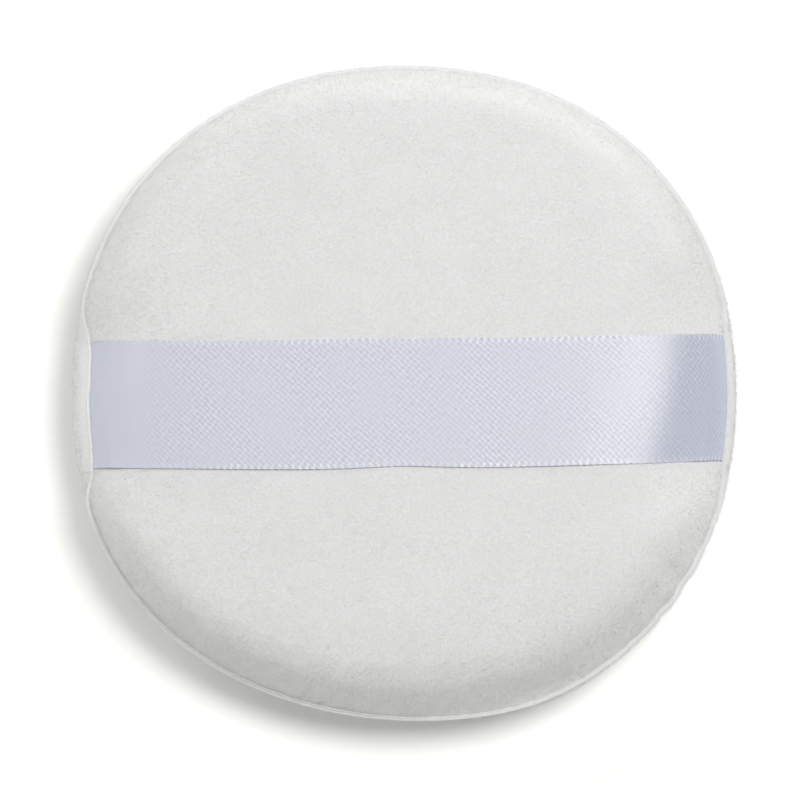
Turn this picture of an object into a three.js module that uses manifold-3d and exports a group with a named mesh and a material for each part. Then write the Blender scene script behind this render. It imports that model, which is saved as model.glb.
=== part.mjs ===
// Powder puff: a foam disc between two velour panels, with a satin ribbon across the back to hold it by.
// The panels are sewn right sides together and turned, so their margins lie inside the edge seam, and the
// ends of the ribbon are caught between the margins.
// Millimetres, +Z up. The pad rests on its powder face at Z = 0, and the ribbon runs along X.

import * as THREE from "three";
import { mergeVertices } from "three/addons/utils/BufferGeometryUtils.js";
import Module from "manifold-3d";

const wasm = await Module();
wasm.setup();

// Pad
const PAD_DIAMETER = 82; // mean, over the edge of the powder face
const PAD_HEIGHT = 14.2; // resting face to the top of the crown
const CROWN = 1.5; // rise of the back above its shoulder
const FACE_OVERHANG = 0.6; // how far the powder face shows beyond the edge of the back
const SEAM_HEIGHT = 6.6; // edge seam above the resting face
const BACK_SHOULDER = 4.5; // radius of the back's rounded shoulder
const FLANK_LEAN = 44; // degrees from upright, of the edge between the shoulder and the seam
const FACE_SHOULDER = 8; // how far in the rounded edge of the powder face reaches
const CLOTH = 0.9; // velour with its pile
const FOLD = 0.25; // inside radius where a panel rolls out of the seam
const FIT = 0.3; // room between layers that lie on each other
const BIAS_STRETCH = 0.0125; // a woven round swells this share on the bias and shrinks as much on the grain

// Edge seam
const BACK_MARGIN = 6; // turned in, measured from the roll
const FACE_MARGIN = 3.4; // graded shorter, so that the seam is less bulky
const STITCH_INSET = 1.2; // stitch line behind the roll
const STITCH_LENGTH = 4;
const THREAD = 0.3; // thickness
const TURNING_GAP = 26; // part of the seam left open for filling, then closed by hand
const CLOSING_STITCH = 3.6;

// Ribbon
const RIBBON_WIDTH = 15.6; // over its selvedges
const RIBBON = 0.4; // thickness
const RIBBON_SLACK = 0.5; // how far it stands off the crown in the middle
const RIBBON_OFFSET = -1.6; // middle of its sewn ends from the middle of the pad, along Y
const RIBBON_SKEW = 0.011; // its run along Y for each millimetre along X
const RIBBON_BOW = -1.35; // how far its middle drifts to the front
const DRAW_IN_LEFT = 2.4; // how far the ribbon pulls the edge in at its left end
const DRAW_IN_RIGHT = 1.1;
const DRAW_UP = 0.6; // how far it lifts the seam there
const DRAW_REACH = 10.2; // half-length of the edge that the pull reaches
const DRAW_START = 30.2; // from here out the pad follows the pull
const PRESS_START = 24; // from here out the taut ribbon presses the back into one easy slope
const PRESS_EASE = 8; // how long that slope keeps to the crown
const FLANK_EASE = 3.5; // and to the flank
const PRESS_FADE = 10; // how far beside the ribbon the back is pressed too
const TACK_INSET = 1.1; // tacking line inside the end of the ribbon
const TACK_SHARE = 0.75; // of the ribbon's width
const TACK_STITCHES = 4;

// Facets
const AROUND = 56;
const CLOSER = 0.45; // share by which the steps are closer at the ends of the ribbon
const ACROSS = 8;
const CROWN_STEPS = 6;

const radius = PAD_DIAMETER / 2;
const backRadius = radius - FACE_OVERHANG;
const roll = FOLD + CLOTH; // outside radius of the roll at the seam
const seamRadius = backRadius - roll;
const stitchRadius = seamRadius - STITCH_INSET;
const backBase = SEAM_HEIGHT + FIT / 2; // where the back's margin lies on the seam plane
const faceBase = SEAM_HEIGHT - FIT / 2;
const rollTop = backBase + roll; // height of the middle of the roll
const lean = THREE.MathUtils.degToRad(FLANK_LEAN);
const shoulderTop = PAD_HEIGHT - CROWN - BACK_SHOULDER; // height of the middle of the shoulder
const overMargins = backBase + CLOTH + FIT + THREAD / 2; // thread lying on the back's margin
const underMargins = faceBase - CLOTH - FIT - THREAD / 2;
const rimTop = overMargins + THREAD / 2 + FIT; // where the sponge lies over the margins and the thread
const tailTop = backBase - FIT; // the ribbon's end lies under the back's margin
const tailBottom = tailTop - RIBBON;
const underTail = tailBottom - FIT - THREAD / 2;

const velour = { color: 0xefefed, roughness: 0.95, metalness: 0 };
const satin = { color: 0xcdd2e2, roughness: 0.42, metalness: 0 };
const sponge = { color: 0xf1ead8, roughness: 1, metalness: 0 };
const cotton = { color: 0xf4f4f2, roughness: 0.7, metalness: 0 };

// Section of the back from the seam to the axis, moved inwards by depth. The crown is raised by rise.
// The flank is the common tangent of the roll and the shoulder, and the shoulder stops where its slope is
// the crown's.
function backSection(depth, detail, rise = 0) {
  const drop = (rollTop - shoulderTop) * Math.sin(lean) + roll - BACK_SHOULDER;
  const inner = seamRadius + drop / Math.cos(lean);
  const stop = Math.atan2(inner, 3 * (CROWN + rise));
  const reach = inner + (BACK_SHOULDER - depth) * Math.cos(stop);
  const top = PAD_HEIGHT - depth + rise;
  const fall = top - shoulderTop - (BACK_SHOULDER - depth) * Math.sin(stop);
  const path = new THREE.Path();
  path.absarc(seamRadius, rollTop, roll - depth, -Math.PI / 2, lean);
  path.absarc(inner, shoulderTop, BACK_SHOULDER - depth, lean, stop);
  const crownAt = (out) => new THREE.Vector2(out, top - fall * (out / reach) ** 3);
  return [...path.getPoints(detail), ...evenly(reach, 0, CROWN_STEPS).slice(1).map(crownAt)];
}

// Section of the powder face from the seam down to the axis, moved inwards by depth.
function faceSection(depth, detail) {
  const middle = faceBase - roll;
  const inner = radius - FACE_SHOULDER;
  const path = new THREE.Path();
  path.absarc(radius - roll, middle, roll - depth, Math.PI / 2, 0, true);
  path.absellipse(inner, middle, FACE_SHOULDER - depth, middle - depth, 0, -Math.PI / 2, true);
  path.lineTo(0, depth);
  return path.getPoints(detail);
}

// Turns a section about Z. Its points run from the lower end on the axis to the upper one. The steps are
// closer together at the ends of the ribbon, where the pad is pressed in.
function turned(section) {
  const round = new THREE.LatheGeometry(section, AROUND).rotateX(Math.PI / 2);
  const place = round.getAttribute("position");
  for (let i = 0; i < place.count; i += 1) {
    const out = Math.hypot(place.getX(i), place.getY(i));
    const angle = Math.atan2(place.getY(i), place.getX(i));
    const closer = angle - (CLOSER * Math.sin(2 * angle)) / 2;
    place.setXY(i, out * Math.cos(closer), out * Math.sin(closer));
  }
  return round;
}

function backCoverBlank() {
  const marginEnd = seamRadius - BACK_MARGIN;
  const inside = backSection(CLOTH, 2).reverse();
  const margin = [
    new THREE.Vector2(marginEnd, backBase + CLOTH),
    new THREE.Vector2(marginEnd, backBase),
  ];
  return turned([...inside, ...margin, ...backSection(0, 3)]);
}

function faceCoverBlank() {
  const marginEnd = seamRadius - FACE_MARGIN;
  const outside = faceSection(0, 3).reverse();
  const margin = [
    new THREE.Vector2(marginEnd, faceBase),
    new THREE.Vector2(marginEnd, faceBase - CLOTH),
  ];
  return turned([...outside, ...margin, ...faceSection(CLOTH, 2)]);
}

// The sponge fills the covers, and its rim gives way to the margins and the threads on them.
function foamCore() {
  const depth = CLOTH + FIT;
  const rimBottom = underMargins - THREAD / 2 - FIT;
  const rimEnd = seamRadius - BACK_MARGIN - FIT;
  const lower = faceSection(depth, 2).filter((p) => p.y < rimBottom - FIT).reverse();
  const upper = backSection(depth, 2).filter((p) => p.y > rimTop + FIT);
  const groove = [
    new THREE.Vector2(lower.at(-1).x, rimBottom),
    ...[rimBottom, faceBase, backBase, rimTop].map((z) => new THREE.Vector2(rimEnd, z)),
    new THREE.Vector2(upper[0].x, rimTop),
  ];
  return turned([...lower, ...groove, ...upper]);
}

// Lays a strip that runs along X onto the pad: askew, off the middle, its ends along the round edge.
function laidAcross(geometry) {
  const place = geometry.getAttribute("position");
  for (let i = 0; i < place.count; i += 1) {
    const x = place.getX(i);
    const drift = RIBBON_BOW * (1 - Math.min(Math.abs(x) / seamRadius, 1) ** 4);
    const y = place.getY(i) + RIBBON_OFFSET + RIBBON_SKEW * x + drift;
    place.setXY(i, x * Math.sqrt(1 - (y / radius) ** 2), y);
  }
  return geometry;
}

function ribbonBlank() {
  const tailEnd = seamRadius - BACK_MARGIN;
  const under = backSection(-FIT, 4, RIBBON_SLACK);
  const over = backSection(-FIT - RIBBON, 4, RIBBON_SLACK).reverse();
  const right = [new THREE.Vector2(tailEnd, tailTop), ...under];
  const left = right.slice(0, -1).reverse().map((p) => new THREE.Vector2(-p.x, p.y));
  const outerRight = [...over, new THREE.Vector2(tailEnd, tailBottom)];
  const outerLeft = outerRight.slice(1).reverse().map((p) => new THREE.Vector2(-p.x, p.y));
  const outline = new THREE.Shape([...right, ...left, ...outerLeft, ...outerRight]);
  const pull = { depth: RIBBON_WIDTH, steps: ACROSS, bevelEnabled: false };
  const strip = new THREE.ExtrudeGeometry(outline, pull);
  return laidAcross(strip.rotateX(Math.PI / 2).translate(0, RIBBON_WIDTH / 2, 0));
}

// The hollow that an end of the ribbon presses into the pile of the face's margin.
function tailHollow(side) {
  const start = seamRadius - BACK_MARGIN;
  const length = radius + FIT - start;
  const height = roll;
  const hollow = new THREE.BoxGeometry(length, RIBBON_WIDTH + 2 * FIT, height, 4, ACROSS, 1);
  return laidAcross(hollow.translate(side * (start + length / 2), 0, tailBottom - FIT + height / 2));
}

// A tube of thread along points, each {at, out}: out is level and square to the line of stitches.
function threadTube(points) {
  const sides = 4;
  const position = [];
  const index = [];
  const step = (i) => points[i + 1].at.clone().sub(points[i].at).normalize();
  points.forEach(({ at, out }, i) => {
    const along = new THREE.Vector3();
    if (i > 0) along.add(step(i - 1));
    if (i + 1 < points.length) along.add(step(i));
    const up = along.cross(out).normalize();
    for (let k = 0; k < sides; k += 1) {
      const turn = ((k + 0.5) / sides) * 2 * Math.PI;
      const rim = at.clone().addScaledVector(out, (Math.cos(turn) * THREAD) / 2);
      position.push(...rim.addScaledVector(up, (Math.sin(turn) * THREAD) / 2));
    }
  });
  for (let i = 0; i + 1 < points.length; i += 1) {
    for (let k = 0; k < sides; k += 1) {
      const a = i * sides + k;
      const b = i * sides + ((k + 1) % sides);
      index.push(a, b, b + sides, a, b + sides, a + sides);
    }
  }
  const last = (points.length - 1) * sides;
  for (let k = 1; k + 1 < sides; k += 1) {
    index.push(0, k + 1, k, last, last + k, last + k + 1);
  }
  const tube = new THREE.BufferGeometry();
  tube.setAttribute("position", new THREE.Float32BufferAttribute(position, 3));
  return tube.setIndex(index);
}

// A place on the stitch line of the edge seam, by its distance along the seam from the back of the pad.
function onSeam(arc, height) {
  const angle = Math.PI / 2 + arc / stitchRadius;
  const out = new THREE.Vector3(Math.cos(angle), Math.sin(angle), 0);
  return { at: out.clone().multiplyScalar(stitchRadius).setZ(height), out };
}

// A place on the tacking line across an end of the ribbon, before the ribbon is laid on the pad.
function onTail(side, across, height) {
  const inward = seamRadius - BACK_MARGIN + TACK_INSET;
  return { at: new THREE.Vector3(side * inward, across, height), out: new THREE.Vector3(side, 0, 0) };
}

// Needle holes at equal steps from one place to another, both included.
function evenly(from, to, steps) {
  return Array.from({ length: steps + 1 }, (_, i) => from + ((to - from) * i) / steps);
}

// One thread of the lockstitch. It lies at height and dips to the middle of the seam at every hole.
function lockThread(height) {
  const side = Math.sign(height - SEAM_HEIGHT);
  const dip = SEAM_HEIGHT + (side * (FIT + THREAD)) / 2;
  const loop = (hole) => [
    onSeam(hole - leg, height),
    onSeam(hole - leg, dip),
    onSeam(hole + leg, dip),
    onSeam(hole + leg, height),
  ];
  return threadTube(seamHoles.flatMap(loop));
}

// A hand stitch that goes to the other side of the layers at every hole. pointAt places it.
function runningThread(holes, over, under, pointAt) {
  const end = (holes[1] - holes[0]) / 2;
  const heights = (i) => (i % 2 === 0 ? [over, SEAM_HEIGHT, under] : [under, SEAM_HEIGHT, over]);
  const through = (hole, i) => heights(i).map((height) => pointAt(hole, height));
  const lastHeight = heights(holes.length - 1).at(-1);
  return threadTube([
    pointAt(holes[0] - end, over),
    ...holes.flatMap(through),
    pointAt(holes.at(-1) + end, lastHeight),
  ]);
}

// Room for the threads in a needle hole, along the line of stitches by length.
function needleHole({ at, out }, length) {
  const height = overMargins - underMargins + 2 * THREAD;
  const hole = new THREE.BoxGeometry(THREAD + 2 * FIT, length, height);
  return hole.rotateZ(Math.atan2(out.y, out.x)).translate(at.x, at.y, (overMargins + underMargins) / 2);
}

const leg = (THREAD + FIT) / 2; // half the width of the loop that a thread makes in a needle hole
const seamLength = 2 * Math.PI * stitchRadius - TURNING_GAP;
const seamStart = TURNING_GAP / 2;
const seamHoles = evenly(seamStart, seamStart + seamLength, Math.round(seamLength / STITCH_LENGTH));
const closingReach = TURNING_GAP / 2 - CLOSING_STITCH;
const closingHoles = evenly(-closingReach, closingReach, Math.round((2 * closingReach) / CLOSING_STITCH));
const tackReach = (TACK_SHARE * RIBBON_WIDTH) / 2;
const tackHoles = evenly(-tackReach, tackReach, TACK_STITCHES);

// The ribbon's hold on the pad: 1 along the ribbon, fading beside it.
function holdAt(x, y) {
  const beside = y - RIBBON_OFFSET - RIBBON_SKEW * x;
  return Math.exp(-((beside / DRAW_REACH) ** 6));
}

// Height at a distance from the axis, on a section whose points run inwards.
function heightOn(section, out) {
  const i = Math.max(section.findIndex((p) => p.x <= out), 1);
  const outer = section[i - 1];
  const inner = section[i];
  return THREE.MathUtils.mapLinear(out, outer.x, inner.x, outer.y, inner.y);
}

// The back from the foot of its flank to the axis, as the sponge fills it.
function filledTop() {
  const foot = rollTop + roll * Math.sin(lean);
  const nearly = 1e-6;
  return backSection(0, 12).filter((p) => p.y > foot - nearly);
}

// The same under the taut ribbon: one slope that leaves the crown and comes in along the flank.
function tautTop(filled) {
  const foot = filled[0];
  const start = new THREE.Vector2(PRESS_START, heightOn(filled, PRESS_START));
  const fall = start.y - heightOn(filled, PRESS_START + 1);
  const leave = new THREE.Vector2(1, -fall).multiplyScalar(PRESS_EASE).add(start);
  const arrive = new THREE.Vector2(-Math.sin(lean), Math.cos(lean)).multiplyScalar(FLANK_EASE).add(foot);
  return new THREE.CubicBezierCurve(foot, arrive, leave, start).getPoints(24);
}

const filled = filledTop();
const taut = tautTop(filled);

// How far the ribbon presses a point down. The margins in the seam and the sponge's rim stay.
function pressAt(x, y, out, height) {
  if (out < PRESS_START || out > filled[0].x) return 0;
  const { smoothstep } = THREE.MathUtils;
  const beside = Math.abs(y - RIBBON_OFFSET - RIBBON_SKEW * x) - RIBBON_WIDTH / 2;
  const under = 1 - smoothstep(beside, 0, PRESS_FADE);
  const above = smoothstep(height, rimTop, PAD_HEIGHT - CROWN);
  return (heightOn(filled, out) - heightOn(taut, out)) * under * above;
}

// The pull is full from the seam upwards and dies out in the edge of the powder face.
function pullAt(out, height) {
  const { smoothstep } = THREE.MathUtils;
  return smoothstep(out, DRAW_START, seamRadius)
    * smoothstep(height, SEAM_HEIGHT - roll - CLOTH / 2, SEAM_HEIGHT);
}

// Gives a true round its sewn shape: squarer on the bias, and pressed, drawn in and lifted by the ribbon.
function sewnShape(geometry) {
  const place = geometry.getAttribute("position");
  for (let i = 0; i < place.count; i += 1) {
    const z = place.getZ(i);
    const out = Math.hypot(place.getX(i), place.getY(i));
    const angle = Math.atan2(place.getY(i), place.getX(i));
    const grain = 1 - BIAS_STRETCH * Math.cos(4 * angle);
    const x = place.getX(i) * grain;
    const y = place.getY(i) * grain;
    const pull = holdAt(x, y) * pullAt(out, z);
    const draw = x > 0 ? -DRAW_IN_RIGHT : DRAW_IN_LEFT;
    const lift = DRAW_UP * pull * (1 - THREE.MathUtils.smoothstep(z, rollTop, PAD_HEIGHT));
    place.setXYZ(i, x + draw * pull, y, z - pressAt(x, y, out, z) + lift);
  }
  return geometry;
}

// A closed mesh as a solid for cutting, without the empty faces that a turned section has on its axis.
function solidOf(geometry) {
  const bare = new THREE.BufferGeometry();
  bare.setAttribute("position", geometry.getAttribute("position"));
  bare.setIndex(geometry.getIndex());
  const joined = mergeVertices(bare, 1e-4);
  const faces = [];
  const corners = Array.from(joined.getIndex().array);
  for (let i = 0; i < corners.length; i += 3) {
    const face = corners.slice(i, i + 3);
    if (new Set(face).size === 3) faces.push(...face);
  }
  const vertProperties = Float32Array.from(joined.getAttribute("position").array);
  const triVerts = Uint32Array.from(faces);
  return new wasm.Manifold(new wasm.Mesh({ numProp: 3, vertProperties, triVerts }));
}

function geometryOf(solid) {
  const { vertProperties, triVerts } = solid.getMesh();
  const geometry = new THREE.BufferGeometry();
  geometry.setAttribute("position", new THREE.Float32BufferAttribute(vertProperties, 3));
  return geometry.setIndex(Array.from(triVerts));
}

function cut(blank, tools) {
  return tools.reduce((solid, tool) => solid.subtract(solidOf(tool)), solidOf(blank));
}

function named(name, geometry, look) {
  const shaped = sewnShape(geometry);
  shaped.computeVertexNormals();
  const mesh = new THREE.Mesh(shaped, new THREE.MeshStandardMaterial(look));
  mesh.name = name;
  return mesh;
}

function powderPuff() {
  const sides = { left: -1, right: 1 };
  const loop = 2 * (leg + THREAD / 2 + FIT);
  const pass = THREAD + 2 * FIT;
  const seamCuts = [
    ...seamHoles.map((hole) => needleHole(onSeam(hole, 0), loop)),
    ...closingHoles.map((hole) => needleHole(onSeam(hole, 0), pass)),
  ];
  const tackCuts = Object.values(sides).flatMap((side) =>
    tackHoles.map((hole) => laidAcross(needleHole(onTail(side, hole, 0), pass))));
  const hollows = Object.values(sides).map(tailHollow);
  const tack = (side) =>
    laidAcross(runningThread(tackHoles, overMargins, underTail, (across, z) => onTail(side, across, z)));

  const puff = new THREE.Group();
  puff.name = "powder_puff";
  puff.add(
    named("back_cover", geometryOf(cut(backCoverBlank(), [...seamCuts, ...tackCuts])), velour),
    named("face_cover", geometryOf(cut(faceCoverBlank(), [...seamCuts, ...hollows])), velour),
    named("foam_core", foamCore(), sponge),
    named("ribbon_strap", geometryOf(cut(ribbonBlank(), [...seamCuts, ...tackCuts])), satin),
    named("seam_needle_thread", lockThread(overMargins), cotton),
    named("seam_bobbin_thread", lockThread(underMargins), cotton),
    named("ribbon_tack_left", tack(sides.left), cotton),
    named("ribbon_tack_right", tack(sides.right), cotton),
    named("closing_thread", runningThread(closingHoles, overMargins, underMargins, onSeam), cotton),
  );
  return puff;
}

export default powderPuff();
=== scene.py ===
import math

import bpy
import numpy as np
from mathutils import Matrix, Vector


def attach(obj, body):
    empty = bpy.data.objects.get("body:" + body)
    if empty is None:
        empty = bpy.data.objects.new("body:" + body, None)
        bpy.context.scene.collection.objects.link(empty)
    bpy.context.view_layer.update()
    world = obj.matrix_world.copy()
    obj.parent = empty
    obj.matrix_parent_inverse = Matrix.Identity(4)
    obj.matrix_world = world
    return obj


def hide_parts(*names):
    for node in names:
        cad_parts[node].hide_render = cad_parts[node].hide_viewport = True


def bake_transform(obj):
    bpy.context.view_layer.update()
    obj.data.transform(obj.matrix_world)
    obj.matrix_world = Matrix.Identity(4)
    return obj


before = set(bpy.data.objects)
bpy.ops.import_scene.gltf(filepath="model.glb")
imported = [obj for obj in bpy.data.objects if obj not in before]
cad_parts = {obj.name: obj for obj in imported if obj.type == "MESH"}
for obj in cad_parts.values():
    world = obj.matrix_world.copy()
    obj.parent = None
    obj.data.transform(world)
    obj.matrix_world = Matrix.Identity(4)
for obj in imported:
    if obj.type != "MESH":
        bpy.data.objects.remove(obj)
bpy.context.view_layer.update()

MM = 0.001

# Pad, in millimetres, with the lean of its flank from upright in radians
PAD_RADIUS = 41.0
PAD_HEIGHT = 14.2
CROWN = 1.5
CROWN_POWER = 3
FACE_OVERHANG = 0.6
SEAM_HEIGHT = 6.6
BACK_SHOULDER = 4.5
FLANK_LEAN = math.radians(32)
FACE_SHOULDER = 8.0
CLOTH = 0.35
ROLL = 0.25
BIAS_STRETCH = 0.0125
BACK_MARGIN = 6.0
FACE_MARGIN = 3.4

# Below nought, the two rolls of the seam are pressed into each other
SEAM_GAP = -0.3

# Ribbon and its pull on the pad, in millimetres
RIBBON_WIDTH = 15.6
RIBBON_THICKNESS = 0.08
RIBBON_LIFT = 0.03
RIBBON_SLACK = 0.05
RIBBON_OFFSET = -1.6
RIBBON_SKEW = 0.011
RIBBON_BOW = -1.35
BOW_POWER = 4
DRAW_IN_LEFT = 2.05
DRAW_IN_RIGHT = 0.85
DRAW_UP = 0.6
DRAW_REACH = 10.2
DRAW_POWER = 6
DRAW_START = 30.2
PRESS_START = 24.0
PRESS_SLANT = 0.25
PRESS_SHIFT = 2.0
PRESS_INSET = 0.2
PRESS_FADE = 10.0
PRESS_EASE = 8.0
FLANK_EASE = 3.5
SLOPE_POINTS = 60

# Where the back bulges over the lip of the powder face, at the front left, in millimetres and radians
BULGE = 0.62
BULGE_PLACE = -2.15
BULGE_REACH = 0.8

# Swollen lip at the front right and flat edge at the front left, in millimetres and radians
SWELL = 0.5
SWELL_PLACE = -1.15
SWELL_REACH = 0.27
FLAT = 1.1
FLAT_PLACE = -2.05
FLAT_REACH = 0.55

# Small gathers of the edge seam at the front right, in millimetres and radians
PUCKER = 0.2
PUCKER_PLACE = -0.66
PUCKER_REACH = 0.15
PUCKERS = 56

# Selvedge loops of the ribbon, in millimetres, and how many rows of its mesh they take up
LOOP_PITCH = 0.86
LOOP_DEPTH = 0.035
LOOP_ROWS = 2.2
RIBBON_STEPS = 1100
RIBBON_ROWS = 30
RIBBON_CREASE = math.radians(40)

# Millimetres of ribbon in one unit of its weave map
WEAVE_UNIT = 100

# Pile fibres, in millimetres
FIBRE_LENGTH = 0.38
FIBRE_ROOT = 0.022
FIBRE_ROOT_DEPTH = 0.1
FIBRES_PER_TUFT_PIECE = 49000
EDGE_FIBRE_LENGTH = 0.55
EDGE_FIBRE_ROOT = 0.026
EDGE_FIBRES = 5000

# How unruly the fibres stand, the way they are brushed, and their length as a share of the full one
FIBRE_UNRULY = 0.18
EDGE_FIBRE_UNRULY = 0.5
BRUSHED_WAY = (0.05, -0.07, 0)
SHORTEST = 0.6
LONGEST = 1.1

# Fibres under the ribbon lie down and are shorter
UNDER_INSET = 0.1
LAID_DOWN = 0.97
LAID_LENGTH = 0.4

# Odd direction from which the sides of a fibre are set out, and pad radii across the map of the pile
SIDEWAYS_GUIDE = (0.31, 0.17, 0.93)
PILE_MAP = 2.2

# Rings of a panel from its middle to the end of its margin
CROWN_RINGS = 22
SHOULDER_RINGS = 9
FLANK_RINGS = 6
ROLL_RINGS = 7
MARGIN_RINGS = 5
TOP_RINGS = CROWN_RINGS + SHOULDER_RINGS + FLANK_RINGS

# Cloth settling: limits in millimetres, the rest in rings and shares
SIM_SCALE = 10
SIM_FRAMES = 20
SETTLE_LIMIT = 0.8
SETTLE_ROUNDS = 8
SETTLE_INSET = 0.5
SETTLE_OUTSET = 3
LOOSE_HOLD = 0.02
MIDDLE_HOLD = 0.4
HOLD_RINGS = (12, 24)
FULL_RINGS = (20, 28)
BACK_FULLNESS = 0.025
FACE_FULLNESS = 0.02

BACK_RADIUS = PAD_RADIUS - FACE_OVERHANG
SEAM_RADIUS = BACK_RADIUS - ROLL
BACK_BASE = SEAM_HEIGHT + SEAM_GAP / 2
FACE_BASE = SEAM_HEIGHT - SEAM_GAP / 2
ROLL_TOP = BACK_BASE + ROLL
SHOULDER_TOP = PAD_HEIGHT - CROWN - BACK_SHOULDER

# Tones
WHITE = (1, 1, 1, 1)
RIBBON_TONE = (0.612, 0.628, 0.708, 1)
# Painted shade at the ends of the ribbon: darker past the bend at its right end, a little darker at its left
# end
RIGHT_END_PAINTED_SHADE = (0.825, 0.84, 0.88, 1)
LEFT_END_PAINTED_SHADE = (0.93, 0.94, 0.96, 1)
# Painted highlight on the crests of the selvedge loops
LOOP_PAINTED_HIGHLIGHT = (0.12, 0.115, 0.1, 1)
VELOUR_TONE = (0.872, 0.872, 0.872, 1)
# Painted shade on the velour: faces that turn away from the back are darkened to this share of VELOUR_TONE,
# so the back flank reads lighter than the front
FRONT_PAINTED_SHADE = 0.87
PAINTED_LIGHT_WAY = (0.16, 0.98, 0.1)
# Painted shade: the sponge is darker in its pores
SPONGE_PORE_SHADE = (0.6, 0.52, 0.38, 1)
SPONGE_TONE = (0.86, 0.8, 0.67, 1)
THREAD_SHADE = (0.7, 0.7, 0.69, 1)
THREAD_TONE = (0.88, 0.88, 0.87, 1)
FLOOR_TONE = (0.98, 0.98, 0.96, 1)
FLOOR_GLOW = 0.1
ROOM_TONE = (1, 1, 0.93, 1)
ROOM_LIGHT = 0.13

# Lamps, in metres
LAMP_DISTANCE = 0.9

# Lengths too small to matter
TINY = 1e-9
NO_LENGTH = 1e-12
WELD = 1e-6


def smoothstep(value, low, high):
    t = np.clip((value - low) / (high - low), 0, 1)
    return t * t * (3 - 2 * t)


def fading(angle, place, reach):
    """1 at a place of the edge, fading to nothing a few reaches away."""
    return np.exp(-(((angle - place) / reach) ** 2))


def deselect():
    bpy.ops.object.select_all(action="DESELECT")


def pick(piece):
    deselect()
    piece.select_set(True)
    bpy.context.view_layer.objects.active = piece


def apply_all(piece):
    pick(piece)
    for modifier in list(piece.modifiers):
        bpy.ops.object.modifier_apply(modifier=modifier.name)


def places(piece):
    spots = np.empty(len(piece.data.vertices) * 3)
    piece.data.vertices.foreach_get("co", spots)
    return spots.reshape(-1, 3)


def place(piece, spots):
    piece.data.vertices.foreach_set("co", np.ascontiguousarray(spots, float).ravel())
    piece.data.update()


# Sections of the panels


def arc(cx, cz, wide, high, start, stop, steps):
    turn = np.linspace(start, stop, steps + 1)
    return np.stack([cx + wide * np.cos(turn), cz + high * np.sin(turn)], axis=1)


def back_section(out=0.0, rise=0.0):
    """Back panel from its middle over the shoulder, the flank and the roll to the end of its margin.

    The line lies outside the panel by out, and its crown is higher by rise.
    """
    drop = (ROLL_TOP - SHOULDER_TOP) * math.sin(FLANK_LEAN) + ROLL - BACK_SHOULDER
    inner = SEAM_RADIUS + drop / math.cos(FLANK_LEAN)
    top = PAD_HEIGHT + out + rise
    stop = math.atan2(inner, CROWN_POWER * (CROWN + rise))
    bend = BACK_SHOULDER + out
    shoulder = arc(inner, SHOULDER_TOP, bend, bend, stop, FLANK_LEAN, SHOULDER_RINGS)
    reach, edge = shoulder[0]
    across = np.linspace(0, reach, CROWN_RINGS + 1)
    crown = np.stack([across, top - (top - edge) * (across / reach) ** CROWN_POWER], axis=1)
    roll = arc(SEAM_RADIUS, ROLL_TOP, ROLL + out, ROLL + out, FLANK_LEAN, -math.pi / 2, ROLL_RINGS)
    flank = np.linspace(shoulder[-1], roll[0], FLANK_RINGS + 1)
    inward = np.linspace(SEAM_RADIUS, SEAM_RADIUS - BACK_MARGIN, MARGIN_RINGS + 1)
    turned_in = np.stack([inward, np.full_like(inward, roll[-1][1])], axis=1)
    return np.concatenate([crown, shoulder[1:], flank[1:], roll[1:], turned_in[1:]])


def face_section():
    """Powder face from its middle out to the edge, up to the roll and back to the end of its margin."""
    middle = FACE_BASE - ROLL
    inner = PAD_RADIUS - FACE_SHOULDER
    flat = np.stack([np.linspace(0, inner, CROWN_RINGS + 1), np.zeros(CROWN_RINGS + 1)], axis=1)
    shoulder = arc(inner, middle, FACE_SHOULDER, middle, -math.pi / 2, 0, SHOULDER_RINGS + FLANK_RINGS)
    roll = arc(PAD_RADIUS - ROLL, middle, ROLL, ROLL, 0, math.pi / 2, ROLL_RINGS)
    inward = np.linspace(PAD_RADIUS - ROLL, SEAM_RADIUS - FACE_MARGIN, MARGIN_RINGS + 1)
    turned_in = np.stack([inward, np.full_like(inward, FACE_BASE)], axis=1)
    return np.concatenate([flat, shoulder[1:], roll[1:], turned_in[1:]])


def beside_ribbon(x, y):
    """Distance from the line on which the two ends of the ribbon are sewn in."""
    return y - RIBBON_OFFSET - RIBBON_SKEW * x


def ribbon_drift(x):
    """How far the middle of the ribbon lies to the front of that line."""
    return RIBBON_BOW * (1 - np.clip(np.abs(x) / SEAM_RADIUS, 0, 1) ** BOW_POWER)


def taut_section(start):
    """Top of the pad under the taut ribbon: the crown as far as start, then one easy slope to the roll."""
    free = back_section()
    top = free[: TOP_RINGS + 1]
    crown = free[free[:, 0] < start]
    before, at = np.interp([start - 1, start], top[:, 0], top[:, 1])
    leave = np.array([1, at - before])
    arrive = np.array([math.sin(FLANK_LEAN), -math.cos(FLANK_LEAN)])
    first, last = np.array([start, at]), free[TOP_RINGS]
    second, third = first + leave * PRESS_EASE, last - arrive * FLANK_EASE
    t = np.linspace(0, 1, SLOPE_POINTS)[:, None]
    slope = first * (1 - t) ** 3 + 3 * second * (1 - t) ** 2 * t + 3 * third * (1 - t) * t**2 + last * t**3
    return np.concatenate([crown, slope])


def press_depth(out, slant):
    """How far the ribbon presses the top of the pad down at a distance from the axis."""
    free = back_section()[: TOP_RINGS + 1]
    near, far = taut_section(PRESS_START - PRESS_SHIFT), taut_section(PRESS_START + PRESS_SHIFT)
    share = np.clip((slant + PRESS_SHIFT) / (2 * PRESS_SHIFT), 0, 1)
    taut = np.interp(out, near[:, 0], near[:, 1]) * (1 - share) + np.interp(out, far[:, 0], far[:, 1]) * share
    return np.interp(out, free[:, 0], free[:, 1]) - taut


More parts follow.
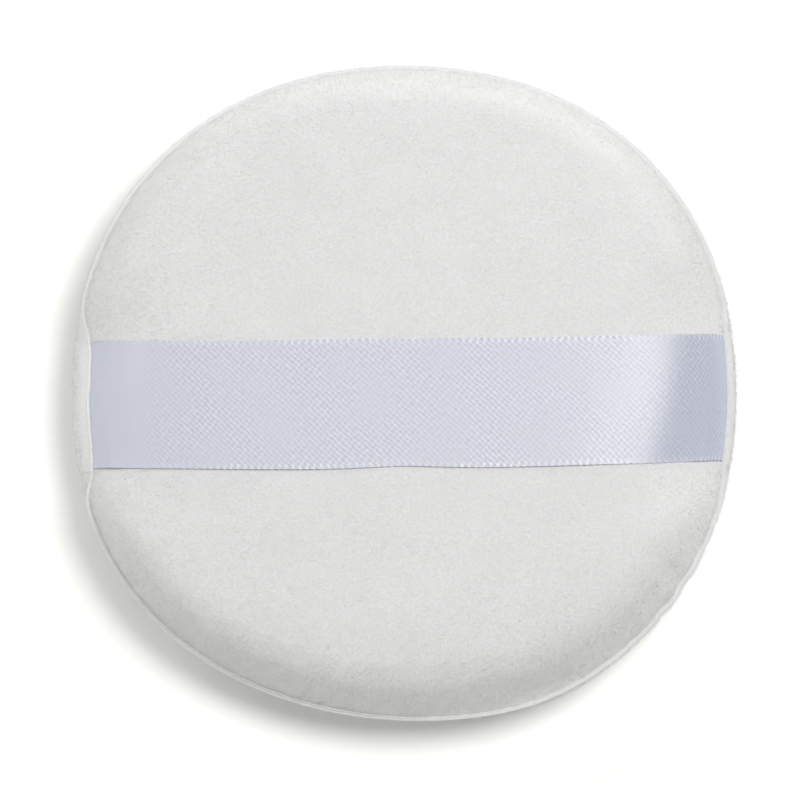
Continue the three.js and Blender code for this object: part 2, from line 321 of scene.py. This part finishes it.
def sewn_shape(out, angle, height):
    """Points of a true round, given their sewn place: squarer on the bias and drawn in at the ribbon."""
    edge = smoothstep(out, DRAW_START, SEAM_RADIUS)
    pucker = PUCKER * fading(angle, PUCKER_PLACE, PUCKER_REACH) * np.cos(PUCKERS * angle)
    bulge = BULGE * fading(angle, BULGE_PLACE, BULGE_REACH) * smoothstep(height, BACK_BASE, ROLL_TOP)
    lip = 1 - smoothstep(height, FACE_BASE, ROLL_TOP + ROLL)
    swell = SWELL * fading(angle, SWELL_PLACE, SWELL_REACH) * lip
    flat = FLAT * fading(angle, FLAT_PLACE, FLAT_REACH)
    reach = out * (1 - BIAS_STRETCH * np.cos(4 * angle)) + (pucker + bulge + swell - flat) * edge
    x, y = reach * np.cos(angle), reach * np.sin(angle)
    beside = beside_ribbon(x, y)
    hold = np.exp(-((beside / DRAW_REACH) ** DRAW_POWER))
    below = smoothstep(height, SEAM_HEIGHT - ROLL - CLOTH / 2, SEAM_HEIGHT)
    above = smoothstep(height, ROLL_TOP, PAD_HEIGHT)
    draw = np.where(x > 0, -DRAW_IN_RIGHT, DRAW_IN_LEFT) * hold * edge * below
    lift = DRAW_UP * hold * edge * below * (1 - above)
    slant = np.where(x > 0, PRESS_SLANT, 0) * beside
    pressed_to = RIBBON_WIDTH / 2 + PRESS_FADE
    under = 1 - smoothstep(np.abs(beside), RIBBON_WIDTH / 2 - PRESS_INSET, pressed_to)
    press = np.where(height > ROLL_TOP, press_depth(out, slant) * under, 0)
    return np.stack([x + draw, y, height - press + lift], axis=1)


# Velour panels


def panel(name, section):
    """A square of cloth laid into a round: its rows become the rings of the section."""
    rings = len(section) - 1
    deselect()
    bpy.ops.mesh.primitive_grid_add(x_subdivisions=2 * rings, y_subdivisions=2 * rings, size=2)
    piece = bpy.context.object
    piece.name = piece.data.name = name
    spots = places(piece)
    a, b = spots[:, 0], spots[:, 1]
    wide = np.abs(a) > np.abs(b)
    r = np.where(wide, a, b)
    safe = np.where(np.abs(r) < TINY, 1, r)
    turn = np.where(wide, math.pi / 4 * b / safe, math.pi / 2 - math.pi / 4 * a / safe)
    angle = np.arctan2(r * np.sin(turn), r * np.cos(turn))
    ring = np.abs(r) * rings
    out = np.interp(ring, np.arange(rings + 1), section[:, 0])
    height = np.interp(ring, np.arange(rings + 1), section[:, 1])
    place(piece, sewn_shape(out, angle, height) * MM)
    return piece, ring


def facing(piece, up):
    """Turns the faces so that the middle of the piece looks up or down."""
    pick(piece)
    middle = min(piece.data.polygons, key=lambda face: face.center.xy.length)
    if (middle.normal.z > 0) != up:
        bpy.ops.object.mode_set(mode="EDIT")
        bpy.ops.mesh.select_all(action="SELECT")
        bpy.ops.mesh.flip_normals()
        bpy.ops.object.mode_set(mode="OBJECT")


def weigh(piece, name, weights):
    group = piece.vertex_groups.new(name=name)
    for number, weight in enumerate(weights):
        group.add([number], float(weight), "REPLACE")
    return group.name


def evened(piece, moved):
    """Moves of the cloth, each shared with the threads beside it."""
    pairs = np.empty(len(piece.data.edges) * 2, int)
    piece.data.edges.foreach_get("vertices", pairs)
    pairs = pairs.reshape(-1, 2)
    count = np.bincount(pairs.ravel(), minlength=len(moved))[:, None]
    for _ in range(SETTLE_ROUNDS):
        total = np.zeros_like(moved)
        np.add.at(total, pairs[:, 0], moved[pairs[:, 1]])
        np.add.at(total, pairs[:, 1], moved[pairs[:, 0]])
        moved = (moved + total / count) / 2
    return moved


def settle(piece, ring, fullness):
    """The panel is cut a little full at its edge, sewn fast at its margin and filled from inside."""
    before = places(piece)
    held = LOOSE_HOLD + MIDDLE_HOLD * (1 - smoothstep(ring, *HOLD_RINGS))
    fast = np.where(ring >= TOP_RINGS - 1, 1.0, held)
    full = smoothstep(ring, *FULL_RINGS)
    place(piece, before * SIM_SCALE)
    cloth = piece.modifiers.new("Settle", "CLOTH")
    settings = cloth.settings
    settings.vertex_group_mass = weigh(piece, "Fast", fast)
    settings.vertex_group_shrink = weigh(piece, "Full", full)
    settings.shrink_min = 0.0
    settings.shrink_max = -fullness
    settings.quality = 6
    settings.mass = 0.15
    settings.bending_stiffness = 4.0
    settings.use_pressure = True
    settings.uniform_pressure_force = 4.0
    settings.effector_weights.gravity = 0
    cloth.collision_settings.use_collision = False
    cloth.point_cache.frame_start = 1
    cloth.point_cache.frame_end = SIM_FRAMES
    for number in range(1, SIM_FRAMES + 1):
        bpy.context.scene.frame_set(number)
    apply_all(piece)
    bpy.context.scene.frame_set(1)
    moved = evened(piece, places(piece) / SIM_SCALE - before)
    far = np.linalg.norm(moved, axis=1, keepdims=True)
    moved *= np.minimum(1, SETTLE_LIMIT * MM / np.maximum(far, TINY))
    apart = np.abs(beside_ribbon(before[:, 0] / MM, before[:, 1] / MM))
    free = smoothstep(apart, RIBBON_WIDTH / 2 - SETTLE_INSET, RIBBON_WIDTH / 2 + SETTLE_OUTSET)
    low = before[:, 2] < FACE_BASE * MM
    after = before + moved * np.where(low, 1, free)[:, None]
    after[:, 2] = np.maximum(after[:, 2], 0)
    place(piece, after)
    piece.vertex_groups.clear()


def skin_of(piece, ring, first=0):
    """Triangles on the outer side of a panel that show, from the first ring out, with their normals."""
    data = piece.data
    data.calc_loop_triangles()
    corners = np.empty(len(data.loop_triangles) * 3, int)
    data.loop_triangles.foreach_get("vertices", corners)
    corners = corners.reshape(-1, 3)
    last = TOP_RINGS + ROLL_RINGS - 1
    corners = corners[(ring[corners].max(axis=1) <= last) & (ring[corners].min(axis=1) >= first)]
    normals = np.empty(len(data.vertices) * 3)
    data.vertices.foreach_get("normal", normals)
    return places(piece)[corners], normals.reshape(-1, 3)[corners]


def velour_panel(name, section, up, fullness, velour):
    """A panel of velour, with its whole skin and the part of it along the seam, for the pile."""
    piece, ring = panel(name, section)
    facing(piece, up)
    settle(piece, ring, fullness)
    skin = skin_of(piece, ring)
    edge = skin_of(piece, ring, TOP_RINGS - 1)
    shell = piece.modifiers.new("Cloth thickness", "SOLIDIFY")
    shell.thickness = CLOTH * MM
    shell.offset = -1
    smooth = piece.modifiers.new("Soft", "SUBSURF")
    smooth.levels = smooth.render_levels = 1
    apply_all(piece)
    bpy.ops.object.shade_smooth()
    piece.data.materials.append(velour)
    return piece, skin, edge


def unit(vectors):
    return vectors / np.maximum(np.linalg.norm(vectors, axis=1, keepdims=True), NO_LENGTH)


def pile(
    name,
    skin,
    seed,
    finish,
    count=FIBRES_PER_TUFT_PIECE,
    long=FIBRE_LENGTH,
    thick=FIBRE_ROOT,
    unruly=FIBRE_UNRULY,
):
    """Short fibres on the skin of a panel, each a three-sided spike with its root in the cloth."""
    chance = np.random.default_rng(seed)
    corners, normals = skin
    area = np.linalg.norm(np.cross(corners[:, 1] - corners[:, 0], corners[:, 2] - corners[:, 0]), axis=1)
    chosen = chance.choice(len(area), size=count, p=area / area.sum())
    s, t = np.sqrt(chance.random(count)), chance.random(count)
    share = np.stack([1 - s, s * (1 - t), s * t], axis=1)[:, :, None]
    root = (corners[chosen] * share).sum(axis=1)
    up = unit((normals[chosen] * share).sum(axis=1))
    side = unit(np.cross(up, np.array(SIDEWAYS_GUIDE)))
    over = np.cross(up, side)
    lean = chance.normal(0, unruly, (count, 2))
    tip_way = unit(up + side * lean[:, :1] + over * lean[:, 1:] + np.array(BRUSHED_WAY))
    apart = np.abs(beside_ribbon(root[:, 0] / MM, root[:, 1] / MM) - ribbon_drift(root[:, 0] / MM))
    under = (apart < RIBBON_WIDTH / 2 - UNDER_INSET) & (root[:, 2] > SEAM_HEIGHT * MM)
    tip_way = np.where(under[:, None], unit(tip_way - up * LAID_DOWN), tip_way)
    length = long * MM * chance.uniform(SHORTEST, LONGEST, count) * np.where(under, LAID_LENGTH, 1)
    first = chance.uniform(0, 2 * math.pi, count)
    spots = np.empty((count, 4, 3))
    for k in range(3):
        turn = (first + k * 2 * math.pi / 3)[:, None]
        ring = side * np.cos(turn) + over * np.sin(turn)
        spots[:, k] = root - up * FIBRE_ROOT_DEPTH * MM + ring * thick * MM
    spots[:, 3] = root + tip_way * length[:, None]
    spots[:, :, 2] = np.maximum(spots[:, :, 2], 0)
    faces = np.array([[0, 2, 1], [0, 1, 3], [1, 2, 3], [2, 0, 3]])
    loops = (np.arange(count)[:, None, None] * 4 + faces).ravel()
    data = bpy.data.meshes.new(name)
    data.vertices.add(count * 4)
    data.vertices.foreach_set("co", spots.ravel())
    data.loops.add(len(loops))
    data.loops.foreach_set("vertex_index", loops)
    data.polygons.add(count * 4)
    data.polygons.foreach_set("loop_start", np.arange(count * 4) * 3)
    spread = data.uv_layers.new(name="OFBake")
    flat = spots.reshape(-1, 3)[loops][:, :2] / (PILE_MAP * PAD_RADIUS * MM) + 0.5
    spread.uv.foreach_set("vector", flat.ravel())
    data.update(calc_edges=True)
    piece = bpy.data.objects.new(name, data)
    bpy.context.scene.collection.objects.link(piece)
    data.materials.append(finish)
    return piece


# Ribbon


def ribbon_line(steps):
    """Underside of the ribbon from its left end in the seam, over the crown, to its right end."""
    half = back_section(RIBBON_LIFT, RIBBON_SLACK)
    line = np.concatenate([half[::-1] * [-1, 1], half[1:]])
    run = np.concatenate([[0], np.cumsum(np.linalg.norm(np.diff(line, axis=0), axis=1))])
    at = np.linspace(0, run[-1], steps + 1)
    return np.stack([np.interp(at, run, line[:, k]) for k in range(2)], axis=1), run[-1]


def lay_across(x, y):
    """Plan of a ribbon point: askew, drifting to the front in the middle, its ends along the round edge."""
    over = y + RIBBON_OFFSET + RIBBON_SKEW * x + ribbon_drift(x)
    return x * np.sqrt(1 - (over / PAD_RADIUS) ** 2), over


def satin_ribbon(satin):
    """The ribbon with its selvedge loops, and its length."""
    deselect()
    bpy.ops.mesh.primitive_grid_add(x_subdivisions=RIBBON_STEPS, y_subdivisions=RIBBON_ROWS, size=2)
    piece = bpy.context.object
    piece.name = piece.data.name = "satin_ribbon"
    spots = places(piece)
    line, length = ribbon_line(RIBBON_STEPS)
    step = np.rint((spots[:, 0] + 1) / 2 * RIBBON_STEPS).astype(int)
    run = step / RIBBON_STEPS * length
    loop = np.cos(2 * math.pi * run / LOOP_PITCH)
    at_edge = smoothstep(np.abs(spots[:, 1]), 1 - LOOP_ROWS / RIBBON_ROWS, 1)
    wide = spots[:, 1] * RIBBON_WIDTH / 2 + np.sign(spots[:, 1]) * at_edge * LOOP_DEPTH * loop
    x, y = lay_across(line[step, 0], wide)
    shape = sewn_shape(np.hypot(x, y), np.arctan2(y, x), line[step, 1] + at_edge * LOOP_DEPTH * loop)
    place(piece, shape * MM)
    facing(piece, True)
    weave = piece.data.uv_layers[0]
    weave.name = "Weave"
    corner = np.empty(len(piece.data.loops), int)
    piece.data.loops.foreach_get("vertex_index", corner)
    flat = np.stack([run, spots[:, 1] * RIBBON_WIDTH / 2], axis=1)[corner] / WEAVE_UNIT
    weave.uv.foreach_set("vector", flat.ravel())
    shell = piece.modifiers.new("Ribbon thickness", "SOLIDIFY")
    shell.thickness = RIBBON_THICKNESS * MM
    shell.offset = 1
    apply_all(piece)
    bpy.ops.object.shade_smooth_by_angle(angle=RIBBON_CREASE)
    piece.data.materials.append(satin)
    return piece, length


# Sponge and threads inside


def softened_copy(node, name, levels, finish, shrink=0.0):
    """A smooth piece in the place of one of the solids that lie inside, smaller by shrink in millimetres."""
    piece = bpy.data.objects[node].copy()
    piece.data = piece.data.copy()
    piece.name = piece.data.name = name
    bpy.context.scene.collection.objects.link(piece)
    pick(piece)
    bpy.ops.object.mode_set(mode="EDIT")
    bpy.ops.mesh.select_all(action="SELECT")
    bpy.ops.mesh.remove_doubles(threshold=WELD)
    bpy.ops.transform.shrink_fatten(value=-shrink * MM)
    bpy.ops.mesh.tris_convert_to_quads()
    bpy.ops.object.mode_set(mode="OBJECT")
    smooth = piece.modifiers.new("Soft", "SUBSURF")
    smooth.levels = smooth.render_levels = levels
    apply_all(piece)
    bpy.ops.object.shade_smooth()
    piece.data.materials.clear()
    piece.data.materials.append(finish)
    return piece


# Finishes


def finish_nodes(name):
    material = bpy.data.materials.new(name)
    material.use_nodes = True
    nodes, links = material.node_tree.nodes, material.node_tree.links
    return material, nodes, links, nodes["Principled BSDF"]


def noise(nodes, links, where, scale, detail):
    texture = nodes.new("ShaderNodeTexNoise")
    texture.inputs["Scale"].default_value = scale
    texture.inputs["Detail"].default_value = detail
    links.new(where, texture.inputs["Vector"])
    return texture.outputs["Fac"]


def worked(nodes, links, operation, first, second=0):
    """A Math node on two values, each a socket or a number."""
    node = nodes.new("ShaderNodeMath")
    node.operation = operation
    for socket, value in zip(node.inputs, (first, second)):
        if isinstance(value, bpy.types.NodeSocket):
            links.new(value, socket)
        else:
            socket.default_value = value
    return node.outputs[0]


def eased(nodes, links, value, low, high, start=0, stop=1):
    """A value brought smoothly from start to stop as it goes from low to high."""
    node = nodes.new("ShaderNodeMapRange")
    node.interpolation_type = "SMOOTHSTEP"
    links.new(value, node.inputs["Value"])
    for name, amount in (("From Min", low), ("From Max", high), ("To Min", start), ("To Max", stop)):
        node.inputs[name].default_value = amount
    return node.outputs["Result"]


def graded(nodes, links, amount, low, high, dark, light):
    """A colour between dark and light as the amount goes from low to high."""
    ramp = nodes.new("ShaderNodeValToRGB")
    ramp.color_ramp.elements[0].position = low
    ramp.color_ramp.elements[0].color = dark
    ramp.color_ramp.elements[1].position = high
    ramp.color_ramp.elements[1].color = light
    links.new(amount, ramp.inputs["Fac"])
    return ramp.outputs["Color"]


def shaded(tone, share):
    return tone[0] * share, tone[1] * share, tone[2] * share, 1


def blended(nodes, links, first, second, kind):
    mix = nodes.new("ShaderNodeMix")
    mix.data_type = "RGBA"
    mix.blend_type = kind
    mix.inputs["Factor"].default_value = 1
    links.new(first, mix.inputs["A"])
    links.new(second, mix.inputs["B"])
    return mix.outputs["Result"]


def raised(nodes, links, height, strength, distance, shader):
    bump = nodes.new("ShaderNodeBump")
    bump.inputs["Strength"].default_value = strength
    bump.inputs["Distance"].default_value = distance
    links.new(height, bump.inputs["Height"])
    links.new(bump.outputs["Normal"], shader.inputs["Normal"])


def velour_finish():
    material, nodes, links, cloth = finish_nodes("White velour")
    cloth.inputs["Roughness"].default_value = 0.95
    cloth.inputs["Specular IOR Level"].default_value = 0.15
    cloth.inputs["Sheen Weight"].default_value = 0.9
    cloth.inputs["Sheen Roughness"].default_value = 0.35
    spot = nodes.new("ShaderNodeTexCoord")
    where = spot.outputs["Object"]
    grain = noise(nodes, links, where, scale=3200, detail=2)
    brushed = noise(nodes, links, where, scale=130, detail=4)
    # Painted shade: the velour darkens as its faces turn away from the back, so the back flank reads lighter
    # than the front
    lean = nodes.new("ShaderNodeVectorMath")
    lean.operation = "DOT_PRODUCT"
    lean.inputs[1].default_value = PAINTED_LIGHT_WAY
    links.new(spot.outputs["Normal"], lean.inputs[0])
    facing_painted_light = eased(nodes, links, lean.outputs["Value"], low=0.4, high=0.9)
    dark, light = shaded(VELOUR_TONE, 0.95), shaded(VELOUR_TONE, 1.05)
    fine = graded(nodes, links, grain, low=0.3, high=0.7, dark=dark, light=light)
    broad = graded(nodes, links, brushed, low=0.3, high=0.7, dark=shaded(WHITE, 0.97), light=WHITE)
    painted_side_shade = graded(nodes, links, facing_painted_light, low=0, high=1, dark=shaded(WHITE, FRONT_PAINTED_SHADE), light=WHITE)
    plain = blended(nodes, links, fine, broad, "MULTIPLY")
    links.new(blended(nodes, links, plain, painted_side_shade, "MULTIPLY"), cloth.inputs["Base Color"])
    raised(nodes, links, grain, strength=0.3, distance=0.00015, shader=cloth)
    return material


def pile_finish():
    material, nodes, links, cloth = finish_nodes("Velour pile")
    cloth.inputs["Roughness"].default_value = 0.9
    cloth.inputs["Specular IOR Level"].default_value = 0.2
    where = nodes.new("ShaderNodeTexCoord").outputs["Object"]
    grain = noise(nodes, links, where, scale=900, detail=2)
    dark, light = shaded(VELOUR_TONE, 0.85), shaded(VELOUR_TONE, 0.97)
    tone = graded(nodes, links, grain, low=0.3, high=0.7, dark=dark, light=light)
    links.new(tone, cloth.inputs["Base Color"])
    return material


def diagonals(nodes, links, where, turn, pitch):
    """Fine ridges at an angle to the ribbon, a pitch in millimetres apart."""
    mapping = nodes.new("ShaderNodeMapping")
    mapping.inputs["Rotation"].default_value = (0, 0, math.radians(turn))
    links.new(where, mapping.inputs["Vector"])
    wave = nodes.new("ShaderNodeTexWave")
    wave.inputs["Scale"].default_value = 2 * math.pi / 20 * WEAVE_UNIT / pitch
    wave.inputs["Distortion"].default_value = 3
    wave.inputs["Detail"].default_value = 2
    wave.inputs["Detail Scale"].default_value = 1.5
    links.new(mapping.outputs["Vector"], wave.inputs["Vector"])
    return wave.outputs["Fac"]


def satin_finish():
    """Satin whose weave shows in crossing diagonals, calm at its left end, with painted shade darkening both
    ends, the right one most.
    """
    material, nodes, links, cloth = finish_nodes("Pale satin")
    cloth.inputs["Roughness"].default_value = 0.38
    cloth.inputs["Specular IOR Level"].default_value = 0.5
    cloth.inputs["Anisotropic"].default_value = 0.75
    cloth.inputs["Anisotropic Rotation"].default_value = 0.25
    run = nodes.new("ShaderNodeTangent")
    run.direction_type = "UV_MAP"
    run.uv_map = "Weave"
    links.new(run.outputs["Tangent"], cloth.inputs["Tangent"])
    weave = nodes.new("ShaderNodeUVMap")
    weave.uv_map = "Weave"
    where = weave.outputs["UV"]
    split = nodes.new("ShaderNodeSeparateXYZ")
    links.new(where, split.inputs[0])
    along, across = split.outputs[0], split.outputs[1]

    rising = worked(nodes, links, "MULTIPLY", diagonals(nodes, links, where, turn=42, pitch=0.62), 0.35)
    falling = worked(nodes, links, "MULTIPLY", diagonals(nodes, links, where, turn=-47, pitch=0.5), 0.65)
    crossing = worked(nodes, links, "ADD", rising, falling)
    patches = noise(nodes, links, where, scale=14, detail=3)
    uneven = eased(nodes, links, patches, low=0.35, high=0.65, start=0.35)
    calm_end = eased(nodes, links, along, low=0.13, high=0.26, start=0.1)
    shown = worked(nodes, links, "MULTIPLY", uneven, calm_end)
    specks = worked(nodes, links, "SUBTRACT", noise(nodes, links, where, scale=180, detail=1), 0.5)
    mixed = worked(nodes, links, "ADD", worked(nodes, links, "SUBTRACT", crossing, 0.5), specks)
    wave = worked(nodes, links, "MULTIPLY", mixed, shown)
    floats = worked(nodes, links, "ADD", wave, 0.5)

    edge = eased(nodes, links, worked(nodes, links, "ABSOLUTE", across), low=0.0705, high=0.0735)
    loop_turn = worked(nodes, links, "MULTIPLY", along, 2 * math.pi * WEAVE_UNIT / LOOP_PITCH)
    beat = worked(nodes, links, "SINE", loop_turn)
    bead = worked(nodes, links, "MULTIPLY", edge, eased(nodes, links, beat, low=0, high=1))
    loops = worked(nodes, links, "MULTIPLY", bead, shown)

    # Painted shade: the ribbon darkens past the slanting bend at its right end, and a little at its left end
    slanting = worked(nodes, links, "SUBTRACT", along, worked(nodes, links, "MULTIPLY", across, 0.27))
    right_shade_mask = eased(nodes, links, slanting, low=0.8, high=0.84)
    left_shade_mask = eased(nodes, links, along, low=0.1, high=0.24)
    dark, light = shaded(RIBBON_TONE, 0.88), shaded(RIBBON_TONE, 1.12)
    tone = graded(nodes, links, floats, low=0.1, high=0.9, dark=dark, light=light)
    right_painted_shade = graded(nodes, links, right_shade_mask, low=0, high=1, dark=WHITE, light=RIGHT_END_PAINTED_SHADE)
    left_painted_shade = graded(nodes, links, left_shade_mask, low=0, high=1, dark=LEFT_END_PAINTED_SHADE, light=WHITE)
    # Painted highlight: the crests of the selvedge loops are made lighter
    painted_loop_highlights = graded(nodes, links, loops, low=0, high=1, dark=(0, 0, 0, 1), light=LOOP_PAINTED_HIGHLIGHT)
    tone = blended(nodes, links, tone, right_painted_shade, "MULTIPLY")
    tone = blended(nodes, links, tone, left_painted_shade, "MULTIPLY")
    links.new(blended(nodes, links, tone, painted_loop_highlights, "ADD"), cloth.inputs["Base Color"])
    raised(nodes, links, floats, strength=0.35, distance=0.00006, shader=cloth)
    return material


def sponge_finish():
    material, nodes, links, sponge = finish_nodes("Cream sponge")
    sponge.inputs["Roughness"].default_value = 1
    sponge.inputs["Specular IOR Level"].default_value = 0.1
    where = nodes.new("ShaderNodeTexCoord").outputs["Object"]
    cells = nodes.new("ShaderNodeTexVoronoi")
    cells.inputs["Scale"].default_value = 1400
    links.new(where, cells.inputs["Vector"])
    depth = cells.outputs["Distance"]
    # Painted shade in the pores: darker at the middle of each cell
    tone = graded(nodes, links, depth, low=0.1, high=0.6, dark=SPONGE_PORE_SHADE, light=SPONGE_TONE)
    links.new(tone, sponge.inputs["Base Color"])
    raised(nodes, links, depth, strength=0.8, distance=0.0003, shader=sponge)
    return material


def thread_finish():
    material, nodes, links, thread = finish_nodes("White sewing thread")
    thread.inputs["Roughness"].default_value = 0.65
    thread.inputs["Sheen Weight"].default_value = 0.3
    where = nodes.new("ShaderNodeTexCoord").outputs["Object"]
    twist = noise(nodes, links, where, scale=6000, detail=1)
    tone = graded(nodes, links, twist, low=0.35, high=0.65, dark=THREAD_SHADE, light=THREAD_TONE)
    links.new(tone, thread.inputs["Base Color"])
    raised(nodes, links, twist, strength=0.6, distance=0.0001, shader=thread)
    return material


def floor_finish():
    """White floor with a faint glow of its own, for the eye and in reflections only."""
    material, nodes, links, surface = finish_nodes("White sweep")
    surface.inputs["Base Color"].default_value = FLOOR_TONE
    surface.inputs["Roughness"].default_value = 1
    surface.inputs["Specular IOR Level"].default_value = 0
    seen = nodes.new("ShaderNodeLightPath")
    shown = seen.outputs["Is Camera Ray"]
    for ray in ("Is Glossy Ray", "Is Transmission Ray"):
        shown = worked(nodes, links, "MAXIMUM", shown, seen.outputs[ray])
    glow = worked(nodes, links, "MULTIPLY", shown, FLOOR_GLOW)
    surface.inputs["Emission Color"].default_value = WHITE
    links.new(glow, surface.inputs["Emission Strength"])
    return material


# Camera, light and floor


def set_camera():
    lens = bpy.data.cameras.new("Camera")
    camera = bpy.data.objects.new("Camera", lens)
    bpy.context.scene.collection.objects.link(camera)
    elevation, distance, view_width, sensor = math.radians(80), 0.6, 0.0971, 36
    lens.sensor_width = sensor
    lens.lens = sensor * distance / view_width
    lens.clip_start = 0.01
    aim = Vector((-0.5, -1.15, 6.0)) * MM
    back = Vector((0, -math.cos(elevation), math.sin(elevation)))
    camera.location = aim + back * distance
    camera.rotation_euler = back.to_track_quat("Z", "Y").to_euler()
    bpy.context.scene.camera = camera


def area_light(name, azimuth, elevation, size, power):
    """A round lamp, aimed at the pad from an azimuth and elevation in degrees."""
    lamp = bpy.data.lights.new(name, "AREA")
    lamp.shape = "DISK"
    lamp.size = size
    lamp.energy = power
    holder = bpy.data.objects.new(name, lamp)
    bpy.context.scene.collection.objects.link(holder)
    a, e = math.radians(azimuth), math.radians(elevation)
    toward = Vector((math.cos(a) * math.cos(e), math.sin(a) * math.cos(e), math.sin(e))).normalized()
    holder.location = toward * LAMP_DISTANCE
    holder.rotation_euler = toward.to_track_quat("Z", "Y").to_euler()


def set_light():
    world = bpy.data.worlds.new("Studio")
    world.use_nodes = True
    background = world.node_tree.nodes["Background"]
    background.inputs["Color"].default_value = ROOM_TONE
    background.inputs["Strength"].default_value = ROOM_LIGHT
    bpy.context.scene.world = world
    area_light("Key", azimuth=25, elevation=61, size=0.52, power=6.3)
    area_light("Back light", azimuth=140, elevation=20, size=0.5, power=2.7)
    area_light("Left fill", azimuth=212, elevation=8, size=0.3, power=2.0)
    area_light("Top light", azimuth=90, elevation=78, size=0.45, power=0.9)
    area_light("Front fill", azimuth=270, elevation=12, size=0.3, power=0.5)
    bpy.context.scene.view_settings.view_transform = "Standard"


def lay_floor():
    deselect()
    bpy.ops.mesh.primitive_plane_add(size=4)
    floor = bpy.context.object
    floor.name = "Floor"
    floor.data.materials.append(floor_finish())


set_camera()
set_light()
lay_floor()

velour = velour_finish()
fibres = pile_finish()
satin = satin_finish()
back, back_skin, back_edge = velour_panel("back_velour", back_section(), True, BACK_FULLNESS, velour)
face, face_skin, face_edge = velour_panel("face_velour", face_section(), False, FACE_FULLNESS, velour)
ribbon, ribbon_length = satin_ribbon(satin)

for piece, node in ((back, "back_cover"), (face, "face_cover")):
    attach(piece, "pad")
    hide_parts(node)

for number in range(3):
    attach(pile(f"back_pile_{number + 1}", back_skin, 11 + number, fibres), "pad")
for number in range(2):
    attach(pile(f"face_pile_{number + 1}", face_skin, 31 + number, fibres), "pad")
seam_skin = [np.concatenate(both) for both in zip(back_edge, face_edge)]
fuzz = pile(
    "seam_fuzz",
    seam_skin,
    51,
    fibres,
    count=EDGE_FIBRES,
    long=EDGE_FIBRE_LENGTH,
    thick=EDGE_FIBRE_ROOT,
    unruly=EDGE_FIBRE_UNRULY,
)
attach(fuzz, "pad")

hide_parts("ribbon_strap")
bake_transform(ribbon)

sponge = softened_copy("foam_core", "sponge_filling", 2, sponge_finish(), shrink=1.0)
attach(sponge, "pad")
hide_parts("foam_core")

thread = thread_finish()
seam_threads = ("seam_needle_thread", "seam_bobbin_thread")
hand_threads = ("ribbon_tack_left", "ribbon_tack_right", "closing_thread")
for node in seam_threads + hand_threads:
    stitch = softened_copy(node, "sewn_" + node, 1, thread)
    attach(stitch, "pad")
    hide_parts(node)
